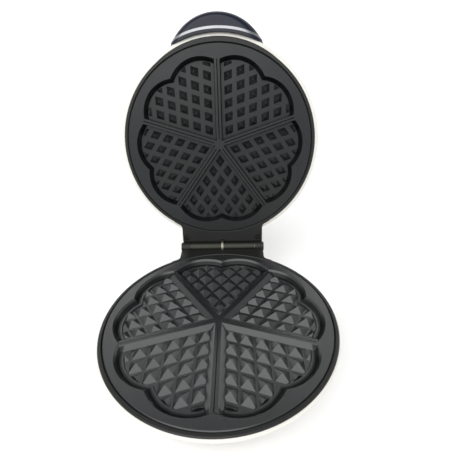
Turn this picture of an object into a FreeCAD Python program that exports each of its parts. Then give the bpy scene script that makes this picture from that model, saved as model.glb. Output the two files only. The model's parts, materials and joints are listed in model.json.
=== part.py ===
"""Five-heart waffle maker, stored with its lid open.

Everything is drawn about the lower cooking plate: x across, y from the front to the
hinge, z up from the plate's flat rim.  Lid pieces are drawn closed, over the lower
plate, and turned open about the hinge axis when they are written.
"""
import FreeCAD, Part
import math
import os

V = FreeCAD.Vector
X_AXIS = V(1, 0, 0)
Y_AXIS = V(0, 1, 0)
Z_AXIS = V(0, 0, 1)

# ---------------------------------------------------------------- overall
RIM_HEIGHT = 46.0          # plate rim above the table
PLATE_Y = -45.6            # plate centre behind or before the footprint's middle
LID_GAP = 0.8              # between the two rims when closed
LID_OPEN = 102.0           # degrees, lid against its stop
HINGE_Y = 120.0            # hinge axis behind the plate centre
HINGE_Z = -1.4             # hinge axis below the lower rim

# ---------------------------------------------------------------- plates
PLATE_R = 101.1
PLATE_RIM_T = 3.5
PLATE_CHAMFER = 0.8
PAN_FLOOR = 6.0            # depth of the cooking floor
PAN_BOTTOM = 9.5           # depth of the casting's underside
LOBES = 10                 # the outline is ten round lobes, two to a heart
LOBE_CENTRE_R = 56.0
LOBE_R = 39.0
PAN_SKIN = 2.5             # metal outside the rosette, below the rim
STUD_PITCH = 13.9          # along a heart's straight side
FIRST_STUD_R = 18.9        # nearest stud to the plate centre
STUD_ROWS = 7
STUD_TIP = 0.9
HEARTS = 5
HEART_HALF = 36.0          # degrees from a heart's axis to its straight side

LOWER_WALL_RUN = 5.4       # how far the outer wall leans in over its depth
LOWER_LEDGE = 4.6          # depth of the smooth border inside the lower rosette
LOWER_BORDER = 3.2         # its width
LOWER_STUD = 11.9
LOWER_STUD_TOP = 1.6       # stud tips below the rim
LOWER_RIDGE_TOP = 1.5      # ridge between hearts below the rim
LOWER_RIDGE_CREST = 2.8    # half width
LOWER_RIDGE_FOOT = 7.2

UPPER_WALL_RUN = 3.6
UPPER_INSET = 3.4          # the upper rosette is drawn in from the lower one
UPPER_STUD = 8.7
UPPER_STUD_TOP = 1.8
UPPER_RIDGE_CREST = 2.75
UPPER_RIDGE_FOOT = 3.9

HEATER_R = 62.0            # centre line of the heating rod
HEATER_ROD = 3.3
HEATER_Z = -12.5
HEATER_HALF_GAP = 22.0     # degrees, open towards the hinge
HEATER_BEND = 6.0
HEATER_TAIL = 1.0
BEAD_LENGTH = 3.5
TAB_LENGTH = 5.0
POST_R = 78.0              # cast posts that carry the heat shield
POST_ANGLES = (54, 126, 234, 306)
SHIELD_Z = -20.0
SHIELD_T = 0.5
SHIELD_R = 85.0
FUSE_Y = 33.0

# ---------------------------------------------------------------- bezels
BEZEL_R = 105.0
BEZEL_BORE = 101.5
BEZEL_LIP = 1.5            # height of the visible edge
BEZEL_SKIRT_R = 103.0
LEDGE_R = 98.0
LEDGE_T = 2.0
LUG_R = 97.3               # plate screws
NECK_HALF = 48.0
NECK_BACK = 132.6
NECK_DEPTH = 14.5
NECK_FILLET = 6.0
LID_NECK_DEPTH = 9.6
LID_NECK_ROOF = 12.6
LID_NECK_BACK = 1.4        # lid neck's end behind the hinge axis
STOP_CLEAR = 0.4

# ---------------------------------------------------------------- hinge
PIN_R = 4.4
PIN_BORE = 3.4
PIN_HALF = 47.5
SLEEVE_R = 6.4
SLEEVE_BORE = 4.45
SLEEVE_END = 38.3
RING_R = 8.4
RING_HALF = 1.5
SIDE_GAP = 0.3
EAR_R = 6.0
EAR_ROOM_R = 6.7           # the lid neck's clearance round the ears
TROUGH_R = 7.6
LEAD_R = 2.2
LEAD_EXIT_X = 20.0         # where the lid's lead leaves the hollow pin
LEAD_ENTRY_X = -43.0
LEAD_ANGLE = 135.0

# ---------------------------------------------------------------- shells
BASE_WALL = 2.5
BASE_BOTTOM = -41.0
COVER_T = 2.4
COVER_R = 80.3
LEDGE_BOTTOM_R = 73.0
BASE_NECK_HALF = 48.3
BASE_NECK_BACK = 133.0
FOOT_R = 8.0
FOOT_PLACES = {
    "front_left": (-47.5, -49.5),
    "front_right": (47.5, -49.5),
    "rear_left": (-33.5, 110.0),
    "rear_right": (33.5, 110.0),
}

# ---------------------------------------------------------------- handle
HANDLE_Y = -77.0           # centre of the hood's round plan
HANDLE_R = 51.0
HANDLE_BULGE = 1.5         # how far its underside swells
COLLAR_R = 113.4           # from the plate centre
TRIM_WIDTH = 2.5
BROW_Y = -9.0              # the lid's front edge swells towards the handle
BROW_R = 98.0              # the bezel's part of it
BROW_LIP_R = 102.0         # the shell's part
BROW_DROP = 3.0            # depth over which the shell's part flares
TRIM_PROUD = 0.4
HANDLE_WALL = 2.6
HANDLE_CORE_X = 20.0        # screw bosses inside the hood
HANDLE_CORE_Z = 13.8
HANDLE_SCREW_Y = -101.9

# ---------------------------------------------------------------- lamps, inlet
LAMP_Y = -58.0
LAMP_X = 10.0
LAMP_R = 3.6
INLET_X = -26.0
INLET_Z = -28.0
INLET_BORE = 3.4


# ---------------------------------------------------------------- helpers
def box(x0, x1, y0, y1, z0, z1):
    """A block between two corners."""
    return Part.makeBox(x1 - x0, y1 - y0, z1 - z0, V(x0, y0, z0))


def rod(radius, z0, z1, x=0.0, y=0.0):
    """An upright cylinder."""
    return Part.makeCylinder(radius, z1 - z0, V(x, y, z0), Z_AXIS)


def bar(radius, x0, x1):
    """A cylinder on the hinge axis."""
    return Part.makeCylinder(radius, x1 - x0, V(x0, HINGE_Y, HINGE_Z), X_AXIS)


def tube(outer, inner, x0, x1):
    """A tube on the hinge axis."""
    return bar(outer, x0, x1).cut(bar(inner, x0, x1))


def polar(radius, degrees, z=0.0):
    """A point at a radius and an angle about the plate centre."""
    angle = math.radians(degrees)
    return V(radius * math.cos(angle), radius * math.sin(angle), z)


def turned(shape, degrees, centre=V(0, 0, 0), axis=Z_AXIS):
    """A copy turned about an axis."""
    copy = shape.copy()
    copy.rotate(centre, axis, degrees)
    return copy


def lathe(points):
    """Revolve a closed outline of (radius, z) corners about the plate's axis."""
    corners = [V(r, 0, z) for r, z in points]
    outline = Part.makePolygon(corners + corners[:1])
    return Part.Face(outline).revolve(V(0, 0, 0), Z_AXIS, 360)


def joined(shapes):
    """Fuse shapes into one and drop the seams between coplanar faces."""
    first = shapes[0]
    whole = first.multiFuse(shapes[1:]) if len(shapes) > 1 else first
    return whole.removeSplitter()


def loft(lower, upper):
    """A straight-sided solid between two closed wires."""
    return Part.makeLoft([lower, upper], True, True)


def spline(points):
    """A smooth edge through (radius, z) points."""
    curve = Part.BSplineCurve()
    curve.interpolate([V(r, 0, z) for r, z in points])
    return curve.toShape()


def facing_up(shape):
    """Turn a piece drawn for the base over, so that it fits the closed lid."""
    return shape.mirror(V(0, 0, LID_GAP / 2), Z_AXIS)


# ---------------------------------------------------------------- plate outlines
def cusp_radius(inset):
    """Radius of the corner between two lobes, for lobes drawn in by inset."""
    half = math.radians(180.0 / LOBES)
    along = LOBE_CENTRE_R * math.cos(half)
    across = LOBE_CENTRE_R * math.sin(half)
    return along + math.sqrt((LOBE_R - inset) ** 2 - across ** 2)


def rosette(inset, z):
    """The ten-lobed outline of the five joined hearts."""
    step = 360.0 / LOBES
    edges = []
    for lobe in range(LOBES):
        middle = lobe * step
        start = polar(cusp_radius(inset), middle - step / 2, z)
        peak = polar(LOBE_CENTRE_R + LOBE_R - inset, middle, z)
        end = polar(cusp_radius(inset), middle + step / 2, z)
        edges.append(Part.Arc(start, peak, end).toShape())
    return Part.Wire(edges)


def rosette_prism(inset_low, low, inset_high, high):
    """The rosette between two heights."""
    return loft(rosette(inset_low, low), rosette(inset_high, high))


def heart(inset, half_gap, z):
    """One heart, pointing from the plate centre along +y, clear of its neighbours."""
    radius = LOBE_R - inset
    side = math.radians(90.0 - HEART_HALF)
    lobe_angle = math.radians(90.0 - 180.0 / LOBES)
    centre = V(LOBE_CENTRE_R * math.cos(lobe_angle), LOBE_CENTRE_R * math.sin(lobe_angle), z)
    along = V(math.cos(side), math.sin(side), 0)
    inward = V(-math.sin(side), math.cos(side), 0)
    foot = inward * half_gap + V(0, 0, z)
    reach = (centre - foot).dot(along)
    miss = (centre - foot - along * reach).Length
    corner = foot + along * (reach + math.sqrt(radius ** 2 - miss ** 2))
    notch = V(0, cusp_radius(inset), z)
    bulge = (corner - centre).normalize() + (notch - centre).normalize()
    middle = centre + bulge.normalize() * radius
    tip = V(0, half_gap / math.sin(math.radians(HEART_HALF)), z)

    def left(point):
        return V(-point.x, point.y, point.z)

    return Part.Wire([
        Part.makeLine(tip, corner),
        Part.Arc(corner, middle, notch).toShape(),
        Part.Arc(notch, left(middle), left(corner)).toShape(),
        Part.makeLine(left(corner), tip),
    ])


def rhombus(side, centre, z):
    """A stud's outline, with its sides parallel to the heart's straight sides."""
    across = side * math.sin(math.radians(HEART_HALF))
    along = side * math.cos(math.radians(HEART_HALF))
    corners = [V(across, 0, 0), V(0, along, 0), V(-across, 0, 0), V(0, -along, 0)]
    placed = [V(centre.x, centre.y, z) + corner for corner in corners]
    return Part.makePolygon(placed + placed[:1])


def studs(side, floor, top, boundary):
    """The pyramids of one heart, trimmed to its boundary."""
    root = 0.4
    slope = (side - STUD_TIP) / (floor - top)
    across = STUD_PITCH * math.sin(math.radians(HEART_HALF))
    along = STUD_PITCH * math.cos(math.radians(HEART_HALF))
    full = None
    pyramids = []
    for row in range(STUD_ROWS):
        for place in range(row + 1):
            centre = V((2 * place - row) * across, FIRST_STUD_R + row * along, 0)
            foot = rhombus(side + slope * root, centre, -floor - root)
            tip = rhombus(STUD_TIP, centre, -top)
            pyramid = loft(foot, tip)
            full = full or pyramid.Volume
            trimmed = pyramid.common(boundary)
            if trimmed.Volume > 0.12 * full:
                pyramids.extend(trimmed.Solids)
    return pyramids


def ridges(crest_half, crest, foot_half, foot, reach):
    """The five ridges that part the hearts."""
    section = [(-foot_half, -foot), (-crest_half, -crest), (crest_half, -crest), (foot_half, -foot)]
    corners = [V(0, s, z) for s, z in section]
    face = Part.Face(Part.makePolygon(corners + corners[:1]))
    ridge = face.extrude(X_AXIS * reach)
    return [turned(ridge, 270.0 + k * 360.0 / HEARTS) for k in range(HEARTS)]


def ridge_grooves(width, depth, crest, start, reach):
    """The fine line along each ridge's crest."""
    over = 0.5
    half = width / 2
    corners = [V(start, -half, over - crest), V(start, half, over - crest), V(start, 0, -crest - depth)]
    face = Part.Face(Part.makePolygon(corners + corners[:1]))
    groove = face.extrude(X_AXIS * (reach - start))
    return [turned(groove, 270.0 + k * 360.0 / HEARTS) for k in range(HEARTS)]


def all_hearts(shapes):
    """Repeat one heart's shapes for the five hearts."""
    step = 360.0 / HEARTS
    return [turned(shape, k * step) for k in range(HEARTS) for shape in shapes]


# ---------------------------------------------------------------- plates
def plate_blank():
    """The casting before its cooking side is cut: rim, pan, rod channel and posts."""
    edge = PLATE_CHAMFER
    rim = lathe([(0, 0), (PLATE_R - edge, 0), (PLATE_R, -edge), (PLATE_R, -PLATE_RIM_T),
                 (0, -PLATE_RIM_T)])
    pan = rosette_prism(-PAN_SKIN, -PAN_BOTTOM, -PAN_SKIN, -PLATE_RIM_T + 0.5)
    channel = lathe([(HEATER_R - 5.5, -PAN_BOTTOM + 0.5), (HEATER_R + 5.5, -PAN_BOTTOM + 0.5),
                     (HEATER_R + 5.5, HEATER_Z), (HEATER_R - 5.5, HEATER_Z)])
    posts = []
    for angle in POST_ANGLES:
        place = polar(POST_R, angle)
        posts.append(rod(4.0, SHIELD_Z, -PAN_BOTTOM + 0.5, place.x, place.y))
    blank = joined([rim, pan, channel] + posts)
    groove = Part.makeTorus(HEATER_R, HEATER_ROD, V(0, 0, HEATER_Z), Z_AXIS)
    holes = [groove]
    for angle in POST_ANGLES:
        place = polar(POST_R, angle)
        holes.append(rod(1.4, SHIELD_Z - 1, SHIELD_Z + 7, place.x, place.y))
        place = polar(LUG_R, angle)
        holes.append(rod(1.4, -PLATE_RIM_T - 1, -1.0, place.x, place.y))
    return blank.cut(holes)


def rosette_cut(depth, run, inset=0.0):
    """The space that the outer wall encloses, from above the rim to a depth."""
    slope = run / PAN_FLOOR
    over = 1.0
    return rosette_prism(inset + slope * depth, -depth, inset - slope * over, over)


def lower_plate():
    """Rosette with a smooth border, low ridges and broad studs."""
    border = LOWER_WALL_RUN * LOWER_LEDGE / PAN_FLOOR + LOWER_BORDER
    step_run = 0.6
    plate = plate_blank().cut(rosette_cut(LOWER_LEDGE, LOWER_WALL_RUN))
    pocket = loft(heart(border + step_run, LOWER_RIDGE_FOOT + step_run, -PAN_FLOOR),
                  heart(border, LOWER_RIDGE_FOOT, -LOWER_LEDGE + 0.02))
    plate = plate.cut(all_hearts([pocket]))
    room = rosette_cut(LOWER_LEDGE + 0.3, LOWER_WALL_RUN)
    ribs = joined(ridges(LOWER_RIDGE_CREST, LOWER_RIDGE_TOP, LOWER_RIDGE_FOOT, LOWER_LEDGE + 0.02, 95))
    ribs = ribs.common(room).cut(ridge_grooves(1.2, 0.6, LOWER_RIDGE_TOP, 10, 95))
    boundary = loft(heart(border + 1.0, LOWER_RIDGE_FOOT - 1.4, -PAN_FLOOR - 1),
                    heart(border + 1.0, LOWER_RIDGE_FOOT - 1.4, 0))
    pyramids = all_hearts(studs(LOWER_STUD, PAN_FLOOR, LOWER_STUD_TOP, boundary))
    return joined([plate, ribs] + pyramids)


def upper_plate():
    """Rosette with narrow ridges flush with the rim and smaller studs."""
    plate = plate_blank().cut(rosette_cut(PAN_FLOOR, UPPER_WALL_RUN, UPPER_INSET))
    ribs = joined(ridges(UPPER_RIDGE_CREST, 0.0, UPPER_RIDGE_FOOT, PAN_FLOOR + 0.3, 90))
    edge = UPPER_INSET + UPPER_WALL_RUN + 0.9
    gap = UPPER_RIDGE_FOOT + 0.4
    boundary = loft(heart(edge, gap, -PAN_FLOOR - 1), heart(edge, gap, 0))
    pyramids = all_hearts(studs(UPPER_STUD, PAN_FLOOR, UPPER_STUD_TOP, boundary))
    whole = joined([plate, ribs] + pyramids)
    return facing_up(whole.cut(ridge_grooves(1.6, 0.8, 0.0, 6, 86)))


# ---------------------------------------------------------------- heating parts
def heater_ends():
    """The two ends of the rod's ring, each with the way it runs on."""
    ends = []
    for side in (-1, 1):
        angle = 90.0 + side * HEATER_HALF_GAP
        ends.append((polar(HEATER_R, angle, HEATER_Z), angle, side))
    return ends


def tail_place(end, angle, side):
    """Where a rod tail comes down below its bend."""
    return end + polar(HEATER_BEND, angle - side * 90.0)


def heater():
    """A round rod that lies in the plate's channel and turns down at both ends."""
    start = 90.0 + HEATER_HALF_GAP
    circle = Part.makeCircle(HEATER_ROD, polar(HEATER_R, start, HEATER_Z), polar(1.0, start + 90.0))
    face = Part.Face(Part.Wire(circle))
    pieces = [face.revolve(V(0, 0, 0), Z_AXIS, 360.0 - 2 * HEATER_HALF_GAP)]
    for end, angle, side in heater_ends():
        onward = polar(1.0, angle - side * 90.0)
        section = Part.Face(Part.Wire(Part.makeCircle(HEATER_ROD, end, onward)))
        axis = onward.cross(Z_AXIS * -1)
        pieces.append(section.revolve(end - Z_AXIS * HEATER_BEND, axis, 90))
        low = tail_place(end, angle, side)
        elbow = HEATER_Z - HEATER_BEND
        pieces.append(rod(HEATER_ROD, elbow - HEATER_TAIL, elbow, low.x, low.y))
    return joined(pieces)


def heater_insulators():
    """Ceramic beads on the rod's ends."""
    top = HEATER_Z - HEATER_BEND - HEATER_TAIL
    beads = []
    for end in heater_ends():
        place = tail_place(*end)
        wide = rod(HEATER_ROD, top - BEAD_LENGTH / 2, top, place.x, place.y)
        narrow = rod(2.2, top - BEAD_LENGTH, top - BEAD_LENGTH / 2, place.x, place.y)
        beads.append(joined([wide, narrow]))
    return Part.makeCompound(beads)


def heater_tabs():
    """Spade terminals below the beads."""
    top = HEATER_Z - HEATER_BEND - HEATER_TAIL - BEAD_LENGTH
    tabs = []
    for end in heater_ends():
        place = tail_place(*end)
        tab = box(place.x - 3.15, place.x + 3.15, place.y - 0.4, place.y + 0.4, top - TAB_LENGTH, top)
        hole = Part.makeCylinder(0.9, 2, V(place.x, place.y - 1, top - TAB_LENGTH + 1.6), Y_AXIS)
        tabs.append(tab.cut(hole))
    return Part.makeCompound(tabs)


def heat_shield(centre_hole):
    """A thin tray that turns the heat back up to the plate."""
    low = SHIELD_Z - SHIELD_T
    high = SHIELD_Z + 9
    inner = SHIELD_R - SHIELD_T
    tray = lathe([(0, low), (SHIELD_R, low), (SHIELD_R, high), (inner, high), (inner, SHIELD_Z),
                  (0, SHIELD_Z)])
    holes = []
    if centre_hole:
        holes.append(rod(centre_hole, low - 1, SHIELD_Z + 1))
    for angle in POST_ANGLES:
        place = polar(POST_R, angle)
        holes.append(rod(1.7, low - 1, SHIELD_Z + 1, place.x, place.y))
    for end in heater_ends():
        place = tail_place(*end)
        holes.append(rod(5.0, low - 1, SHIELD_Z + 1, place.x, place.y))
    return tray.cut(holes)


def screw(head_r, head_t, shank_r, length, place):
    """A round-head screw with a cross recess, its head's seat at place, pointing up."""
    head = Part.makeCylinder(head_r, head_t, place - Z_AXIS * head_t, Z_AXIS)
    shank = Part.makeCylinder(shank_r, length, place, Z_AXIS)
    slot = head_r * 1.1
    cross = [box(-slot / 2, slot / 2, -0.35, 0.35, -head_t - 1, -head_t + 0.9),
             box(-0.35, 0.35, -slot / 2, slot / 2, -head_t - 1, -head_t + 0.9)]
    for bit in cross:
        bit.translate(place)
    return head.fuse(shank).removeSplitter().cut(cross)


def shield_screws():
    """Screws that hold the tray to the plate's posts."""
    places = [polar(POST_R, angle, SHIELD_Z - SHIELD_T) for angle in POST_ANGLES]
    return Part.makeCompound([screw(3.0, 1.8, 1.4, 6.0, place) for place in places])


def plate_screws():
    """Screws that hold the plate down on the bezel's lugs."""
    places = [polar(LUG_R, angle, -PLATE_RIM_T - LEDGE_T) for angle in POST_ANGLES]
    return Part.makeCompound([screw(2.6, 1.6, 1.4, 4.0, place) for place in places])


def thermostat():
    """Snap-disc thermostat on the underside of the lower plate."""
    body = rod(8.5, -21.0, -PAN_BOTTOM)
    flange = rod(11.0, -11.0, -PAN_BOTTOM)
    tabs = [box(x - 0.4, x + 0.4, -3.15, 3.15, -28.0, -20.0) for x in (-5.0, 5.0)]
    return joined([body, flange] + tabs)


def thermal_fuse():
    """Axial thermal cut-out lying against the lower plate."""
    middle = V(0, FUSE_Y, -PAN_BOTTOM - 2.0)
    body = Part.makeCylinder(2.0, 11.0, middle - X_AXIS * 5.5, X_AXIS)
    leads = Part.makeCylinder(0.5, 27.0, middle - X_AXIS * 13.5, X_AXIS)
    return body.fuse(leads).removeSplitter()


def fuse_clip():
    """Strap that presses the cut-out to the plate."""
    y = FUSE_Y
    top = -PAN_BOTTOM
    strap = joined([
        Part.makeCylinder(2.6, 5.0, V(-2.5, y, top - 2.0), X_AXIS),
        box(-2.5, 2.5, y - 2.6, y + 2.6, top - 2.0, top),
        box(-2.5, 2.5, y - 9.0, y, top - 0.6, top),
    ])
    hollow = joined([
        Part.makeCylinder(2.0, 7.0, V(-3.5, y, top - 2.0), X_AXIS),
        box(-3.5, 3.5, y - 2.0, y + 2.0, top - 2.0, top + 1),
    ])
    return strap.cut(hollow)


# ---------------------------------------------------------------- bezels
def neck_plan(half, back, low, high, radius):
    """The ring's plan with its hinge neck, rounded where the two meet."""
    disc = rod(radius, low, high)
    neck = box(-half, half, 0, back, low, high)
    whole = disc.fuse(neck).removeSplitter()
    corner_y = math.sqrt(radius ** 2 - half ** 2)
    edges = []
    for edge in whole.Edges:
        middle = edge.CenterOfMass
        upright = abs(edge.BoundBox.ZLength - (high - low)) < 1e-6 and edge.BoundBox.XLength < 1e-6
        if upright and abs(abs(middle.x) - half) < 0.01 and abs(middle.y - corner_y) < 0.01:
            edges.append(edge)
    return whole.makeFillet(NECK_FILLET, edges)


def bezel_ring():
    """The ring round a plate, with a ledge and lugs under the plate's rim."""
    chamfer = 0.8
    under = -PLATE_RIM_T - LEDGE_T
    skirt = lathe([(BEZEL_BORE, -BEZEL_LIP + 0.5), (BEZEL_SKIRT_R, -BEZEL_LIP + 0.5), (BEZEL_SKIRT_R, under),
                   (LEDGE_R, under), (LEDGE_R, -PLATE_RIM_T), (BEZEL_BORE, -PLATE_RIM_T)])
    lug = box(LUG_R - 3.3, LEDGE_R + 1, -4.5, 4.5, under, -PLATE_RIM_T)
    lugs = [turned(lug, angle) for angle in POST_ANGLES]
    bevel = lathe([(BEZEL_R - chamfer, 0.1), (BEZEL_R + 1, 0.1), (BEZEL_R + 1, -chamfer),
                   (BEZEL_R, -chamfer), (BEZEL_R - chamfer, 0)])
    return skirt, lugs, bevel


def bezel_holes():
    """Plate recess, its broken edge and the plate screws' holes."""
    edge = 0.6
    lead_in = lathe([(0, 0.1), (BEZEL_BORE + edge, 0.1), (BEZEL_BORE + edge, 0), (BEZEL_BORE, -edge),
                     (0, -edge)])
    holes = [rod(BEZEL_BORE, -PLATE_RIM_T, 1), rod(LEDGE_R, -NECK_DEPTH - 1, 1), lead_in]
    screws = []
    for angle in POST_ANGLES:
        place = polar(LUG_R, angle)
        screws.append(rod(1.6, -PLATE_RIM_T - LEDGE_T - 1, 0, place.x, place.y))
    return holes, screws


def base_bezel():
    """Lower ring with the hinge neck, its trough and the two ears."""
    skirt, lugs, bevel = bezel_ring()
    holes, screw_holes = bezel_holes()
    top = neck_plan(NECK_HALF, NECK_BACK, -BEZEL_LIP, 0, BEZEL_R)
    neck = box(-NECK_HALF, NECK_HALF, 88, NECK_BACK, -NECK_DEPTH, -BEZEL_LIP + 0.5)
    whole = joined([skirt, top, neck]).cut(holes)
    sides = bevel.cut(box(-NECK_HALF - 8, NECK_HALF + 8, 60, 140, -5, 5))
    whole = joined([whole.cut(sides)] + lugs).cut(screw_holes)
    duct = box(-NECK_HALF + 3, NECK_HALF - 3, 104.5, 110.5, -NECK_DEPTH - 1, -3.5)
    stop = box(-60, 60, 0, 40, 0, 30)
    stop.translate(V(0, HINGE_Y, HINGE_Z - LID_NECK_BACK - STOP_CLEAR))
    stop.rotate(V(0, HINGE_Y, HINGE_Z), X_AXIS, 90 - LID_OPEN)
    start = SLEEVE_END + SIDE_GAP
    room = box(-start, start, HINGE_Y - TROUGH_R, HINGE_Y + TROUGH_R, HINGE_Z, 5)
    collar_room = bar(RING_R + SIDE_GAP, -RING_HALF - SIDE_GAP, RING_HALF + SIDE_GAP)
    whole = whole.cut([duct, stop, room, bar(TROUGH_R, -start, start), collar_room])
    ears = [bar(EAR_R, -NECK_HALF, -start), bar(EAR_R, start, NECK_HALF)]
    lead_hole = rod(LEAD_R + 0.4, -NECK_DEPTH - 1, HINGE_Z, LEAD_ENTRY_X, HINGE_Y)
    return joined([whole] + ears).cut([bar(PIN_R, -60, 60), lead_hole])


def brow():
    """The crescent by which the upper ring swells towards the handle."""
    chamfer = 0.8
    straight = rod(BROW_R, LID_GAP + chamfer, LID_GAP + BEZEL_LIP, 0, BROW_Y)
    slanted = Part.makeCone(BROW_R - chamfer, BROW_R, chamfer, V(0, BROW_Y, LID_GAP), Z_AXIS)
    return joined([straight, slanted]).cut(rod(BEZEL_R - 1.2, LID_GAP - 1, LID_GAP + BEZEL_LIP + 1))


def lid_neck_screw_place(side):
    """Seat of a lid neck screw, in the closed lid."""
    return V(side * 42.5, 108.5, LID_GAP + 3.6)


def lid_bezel():
    """Upper ring with the neck that clamps the hinge sleeves."""
    skirt, lugs, bevel = bezel_ring()
    holes, screw_holes = bezel_holes()
    back = HINGE_Y + LID_NECK_BACK
    half = NECK_HALF - 0.4
    top = neck_plan(half, back, -BEZEL_LIP, 0, BEZEL_R)
    neck = box(-half, half, 88, back, -LID_NECK_DEPTH + LID_GAP, -BEZEL_LIP + 0.5)
    whole = joined([skirt, top, neck]).cut(holes)
    sides = bevel.cut(box(-NECK_HALF - 8, NECK_HALF + 8, 60, 140, -5, 5))
    whole = joined([whole.cut(sides)] + lugs).cut(screw_holes)
    whole = joined([facing_up(whole), brow()])
    duct_floor = LID_GAP + 4.0
    slot_half = LEAD_R + 0.2
    cuts = [
        bar(SLEEVE_R, -SLEEVE_END - SIDE_GAP, SLEEVE_END + SIDE_GAP),
        bar(RING_R + 0.5, -RING_HALF - SIDE_GAP, RING_HALF + SIDE_GAP),
        bar(EAR_ROOM_R, -60, -SLEEVE_END),
        bar(EAR_ROOM_R, SLEEVE_END, 60),
        box(-34, 34, 104.5, 111.5, duct_floor, 30),
        box(LEAD_EXIT_X - slot_half, LEAD_EXIT_X + slot_half, 96, 105, duct_floor, 30),
    ]
    for side in (-1, 1):
        seat = lid_neck_screw_place(side)
        cuts.append(rod(3.5, LID_GAP - 1, seat.z, seat.x, seat.y))
        cuts.append(rod(1.7, LID_GAP, LID_NECK_DEPTH + 1, seat.x, seat.y))
    cuts.append(lid_lead_bore(LEAD_R + 0.1, 20))
    return whole.cut(cuts)


def lid_neck_screws():
    """Two screws in the lid neck's recesses."""
    return Part.makeCompound([screw(3.1, 1.8, 1.5, 7.0, lid_neck_screw_place(side)) for side in (-1, 1)])


# ---------------------------------------------------------------- hinge
def lid_lead_bore(radius, length):
    """A cylinder from the hinge axis into the lid's neck, in the closed lid."""
    start = V(LEAD_EXIT_X, HINGE_Y, HINGE_Z)
    angle = math.radians(LEAD_ANGLE)
    return Part.makeCylinder(radius, length, start, V(0, math.cos(angle), math.sin(angle)))


def hinge_pin():
    """Hollow pin, fixed in the ears, that also carries the lid's wires across."""
    pin = tube(PIN_R, PIN_BORE, -PIN_HALF, PIN_HALF)
    entry = rod(LEAD_R + 0.4, -12, HINGE_Z, LEAD_ENTRY_X, HINGE_Y)
    half_slot = LEAD_R + 0.6
    window = box(LEAD_EXIT_X - half_slot, LEAD_EXIT_X + half_slot, HINGE_Y - 8, HINGE_Y + 8,
                 HINGE_Z - 0.2, HINGE_Z + 8)
    middle_angle = LEAD_ANGLE - LID_OPEN / 2 - 90.0
    window.rotate(V(0, HINGE_Y, HINGE_Z), X_AXIS, middle_angle)
    return pin.cut([entry, window])


def hinge_sleeve(side):
    """One half of the visible hinge tube."""
    near = RING_HALF + SIDE_GAP
    ends = sorted((side * near, side * SLEEVE_END))
    sleeve = tube(SLEEVE_R, SLEEVE_BORE, ends[0], ends[1])
    return sleeve.cut(lid_lead_bore(LEAD_R + 0.1, 12)) if side > 0 else sleeve


def hinge_ring():
    """Collar on the pin between the sleeves."""
    return tube(RING_R, PIN_R, -RING_HALF, RING_HALF)


def hinge_cap(side):
    """Cap that closes the end of the pin."""
    head = sorted((side * NECK_HALF, side * (NECK_HALF + 1.2)))
    stem = sorted((side * (PIN_HALF - 2.0), side * NECK_HALF))
    return bar(EAR_R - 0.6, head[0], head[1]).fuse(bar(PIN_BORE, stem[0], stem[1])).removeSplitter()


# ---------------------------------------------------------------- shells
def bowl_outer():
    """The base's white bowl as a solid."""
    lip = -BEZEL_LIP
    edges = [
        Part.makeLine(V(0, 0, lip), V(104.4, 0, lip)),
        Part.Arc(V(104.4, 0, lip), V(106.2, 0, -3.1), V(105.7, 0, -5.2)).toShape(),
        Part.makeLine(V(105.7, 0, -5.2), V(88.5, 0, -34.0)),
        Part.Arc(V(88.5, 0, -34.0), V(85.4, 0, -38.6), V(81.2, 0, BASE_BOTTOM)).toShape(),
        Part.makeLine(V(81.2, 0, BASE_BOTTOM), V(0, 0, BASE_BOTTOM)),
        Part.makeLine(V(0, 0, BASE_BOTTOM), V(0, 0, lip)),
    ]
    return Part.Face(Part.Wire(edges)).revolve(V(0, 0, 0), Z_AXIS, 360)


def bowl_inner():
    """The space inside the bowl, down to the ledge over the bottom cover."""
    under = -PLATE_RIM_T - LEDGE_T
    return lathe([(0, 1), (BEZEL_SKIRT_R, 1), (BEZEL_SKIRT_R, under), (101.7, under), (84.7, -34.0),
                  (LEDGE_BOTTOM_R, -36.4), (0, -36.4)])


def cover_plan(radius, half, back, low, high):
    """Plan of the bottom cover: a disc and the neck's rounded tongue."""
    disc = rod(radius, low, high)
    tongue = box(-half, half, 0, back, low, high)
    edges = [e for e in tongue.Edges if e.BoundBox.ZLength > 1e-3 and e.CenterOfMass.y > back - 1]
    return disc.fuse(tongue.makeFillet(4.0, edges)).removeSplitter()


def base_shell():
    """White bowl with the block that stands under the hinge."""
    block = box(-BASE_NECK_HALF, BASE_NECK_HALF, 60, BASE_NECK_BACK, BASE_BOTTOM, -NECK_DEPTH)
    corners = [e for e in block.Edges if e.BoundBox.ZLength > 1 and e.CenterOfMass.y > BASE_NECK_BACK - 1]
    block = block.makeFillet(NECK_FILLET, corners)
    outer = bowl_outer().fuse(block)
    wall = BASE_WALL
    cavity = box(-BASE_NECK_HALF + wall, BASE_NECK_HALF - wall, 40, BASE_NECK_BACK - wall, -36.4, 1)
    seat = cover_plan(COVER_R + 0.2, 44.2, 128.7, BASE_BOTTOM - 1, BASE_BOTTOM + COVER_T)
    mouth = cover_plan(LEDGE_BOTTOM_R, 38.0, 122.0, BASE_BOTTOM - 1, -30)
    neck_room = box(-NECK_HALF, NECK_HALF, 80, BASE_NECK_BACK + 1, -NECK_DEPTH, 1)
    body = outer.cut([bowl_inner(), cavity, seat, mouth, neck_room])
    posts = []
    holes = []
    for place in bottom_screw_places():
        posts.append(rod(3.8, BASE_BOTTOM + COVER_T, -26, place.x, place.y))
        holes.append(rod(1.4, BASE_BOTTOM, -29, place.x, place.y))
    inlet = Part.makeCylinder(7.0, 20, V(INLET_X, BASE_NECK_BACK - 10, INLET_Z), Y_AXIS)
    return joined([body] + posts).cut(holes + [inlet])


def bottom_screw_places():
    """Places of the bottom cover's screws."""
    seat = BASE_BOTTOM + 0.8
    ring = [polar(76.9, angle, seat) for angle in (200, 270, 340)]
    return ring + [V(-39.8, 118.0, seat), V(39.8, 118.0, seat)]


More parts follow.
